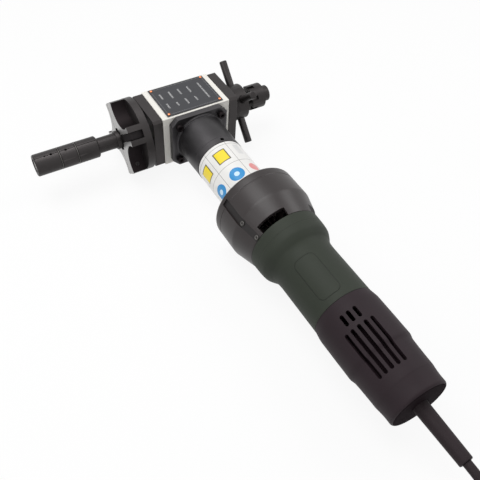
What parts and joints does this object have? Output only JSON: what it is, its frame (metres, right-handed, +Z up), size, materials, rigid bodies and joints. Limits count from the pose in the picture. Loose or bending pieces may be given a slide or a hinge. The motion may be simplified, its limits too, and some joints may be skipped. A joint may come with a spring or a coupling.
{
  "type": "pipe beveling machine",
  "caption": "Electric pipe beveling machine: gearbox with a lobed cutter head on an expanding mandrel, feed wheel and clamp knob, driven by a slim motor with cord.",
  "frame": {"origin": "centre of the bottom of the tool's box, without the free cord, the coil, its tie and the plug; the tool lies level with its axes 46.5 mm above", "axes": "+Y from the cord end along the motor to the gearbox, -X towards the mandrel tip, +Z up, towards the nameplate"},
  "size_m": [0.3534, 0.7317, 0.093],
  "materials": {
    "pale_paint": "satin off-white paint",
    "black_steel": "black oxide",
    "bright_steel": "ground",
    "grey_plate": "dark anodised",
    "copper": "copper",
    "brass": "plain brass",
    "white_sleeve": "white film with plain colour patches",
    "black_plastic": "moulded",
    "green_plastic": "fine grained",
    "brown_plastic": "fine grained",
    "rubber": "matt"
  },
  "bodies": {
    "machine": {"gearbox_block": "pale_paint", "front_end_plate": "black_steel", "rear_end_plate": "black_steel", "nameplate": "grey_plate", "nameplate_rivet_1": "copper", "nameplate_rivet_2": "copper", "nameplate_rivet_3": "copper", "nameplate_rivet_4": "copper", "neck_flange": "black_steel", "flange_screw_1": "black_steel", "flange_screw_2": "black_steel", "flange_screw_3": "black_steel", "flange_screw_4": "black_steel", "tube_collar": "black_steel", "printed_sleeve": "white_sleeve", "gear_cover": "black_plastic", "motor_housing": "green_plastic", "rear_cover": "brown_plastic", "stator": "bright_steel", "brush_holder_1": "brass", "brush_holder_2": "brass", "spindle_bearing_front": "bright_steel", "spindle_bearing_rear": "bright_steel", "pinion_bearing": "bright_steel", "armature_bearing_front": "bright_steel", "armature_bearing_rear": "bright_steel", "strain_relief": "rubber", "cord": "rubber", "cord_coil": "rubber", "cord_tie": "black_plastic", "plug": "rubber"},
    "cutter": {"cutter_head": "black_steel", "spindle": "bright_steel", "bevel_gear": "bright_steel", "tool_bit_1": "bright_steel", "tool_bit_2": "bright_steel", "tool_bit_3": "bright_steel", "tool_bit_4": "bright_steel", "tool_screw_1": "black_steel", "tool_screw_2": "black_steel", "tool_screw_3": "black_steel", "tool_screw_4": "black_steel"},
    "drive": {"drive_shaft": "bright_steel"},
    "rotor": {"armature": "copper", "cooling_fan": "black_plastic"},
    "feed_wheel": {"feed_hub": "black_steel", "spoke_1": "black_steel", "spoke_2": "black_steel", "spoke_3": "black_steel", "spoke_4": "black_steel"},
    "mandrel": {"mandrel_shaft": "black_steel", "ring_spring_1": "bright_steel", "ring_spring_2": "bright_steel"},
    "clamp": {"clamp_knob": "black_steel"},
    "rod": {"draw_rod": "bright_steel", "rod_end_nut": "black_steel"},
    "shoe_a": {"shoe_1": "black_steel"},
    "shoe_b": {"shoe_2": "black_steel"},
    "shoe_c": {"shoe_3": "black_steel"},
    "switch": {"slide_switch": "black_plastic"}
  },
  "joints": [
    {"name": "cutter_head_spin", "type": "hinge", "parent": "machine", "child": "cutter", "pos_m": [0.03425, 0.2145, 0.0465], "axis": [1, 0, 0], "continuous": true},
    {"name": "drive_shaft_spin", "type": "hinge", "parent": "machine", "child": "drive", "pos_m": [0.03425, 0.2145, 0.0465], "axis": [0, 1, 0], "continuous": true},
    {"name": "armature_spin", "type": "hinge", "parent": "machine", "child": "rotor", "pos_m": [0.03425, 0.2145, 0.0465], "axis": [0, 1, 0], "continuous": true},
    {"name": "feed_wheel_turn", "type": "hinge", "parent": "machine", "child": "feed_wheel", "pos_m": [0.03425, 0.2145, 0.0465], "axis": [1, 0, 0], "range_deg": [0, 3600]},
    {"name": "mandrel_feed", "type": "slide", "parent": "machine", "child": "mandrel", "axis": [1, 0, 0], "range_m": [0, 0.025]},
    {"name": "clamp_knob_turn", "type": "hinge", "parent": "mandrel", "child": "clamp", "pos_m": [0.03425, 0.2145, 0.0465], "axis": [1, 0, 0], "range_deg": [0, 1800]},
    {"name": "draw_rod_pull", "type": "slide", "parent": "mandrel", "child": "rod", "axis": [1, 0, 0], "range_m": [0, 0.0075]},
    {"name": "shoe_a_spread", "type": "slide", "parent": "mandrel", "child": "shoe_a", "axis": [0, 0.7071, 0.7071], "range_m": [0, 0.00045]},
    {"name": "shoe_b_spread", "type": "slide", "parent": "mandrel", "child": "shoe_b", "axis": [0, 0.2588, -0.9659], "range_m": [0, 0.00045]},
    {"name": "shoe_c_spread", "type": "slide", "parent": "mandrel", "child": "shoe_c", "axis": [0, -0.9659, 0.2588], "range_m": [0, 0.00045]},
    {"name": "switch_slide", "type": "slide", "parent": "machine", "child": "switch", "axis": [0, 1, 0], "range_m": [0, 0.005]}
  ],
  "couplings": [
    {"joint": "drive_shaft_spin", "follows": "cutter_head_spin", "ratio": 2},
    {"joint": "armature_spin", "follows": "cutter_head_spin", "ratio": 10},
    {"joint": "feed_wheel_turn", "follows": "mandrel_feed", "rad_per_m": 2513.3},
    {"joint": "clamp_knob_turn", "follows": "draw_rod_pull", "rad_per_m": 4188.8},
    {"joint": "shoe_a_spread", "follows": "draw_rod_pull", "ratio": 0.06},
    {"joint": "shoe_b_spread", "follows": "draw_rod_pull", "ratio": 0.06},
    {"joint": "shoe_c_spread", "follows": "draw_rod_pull", "ratio": 0.06}
  ]
}
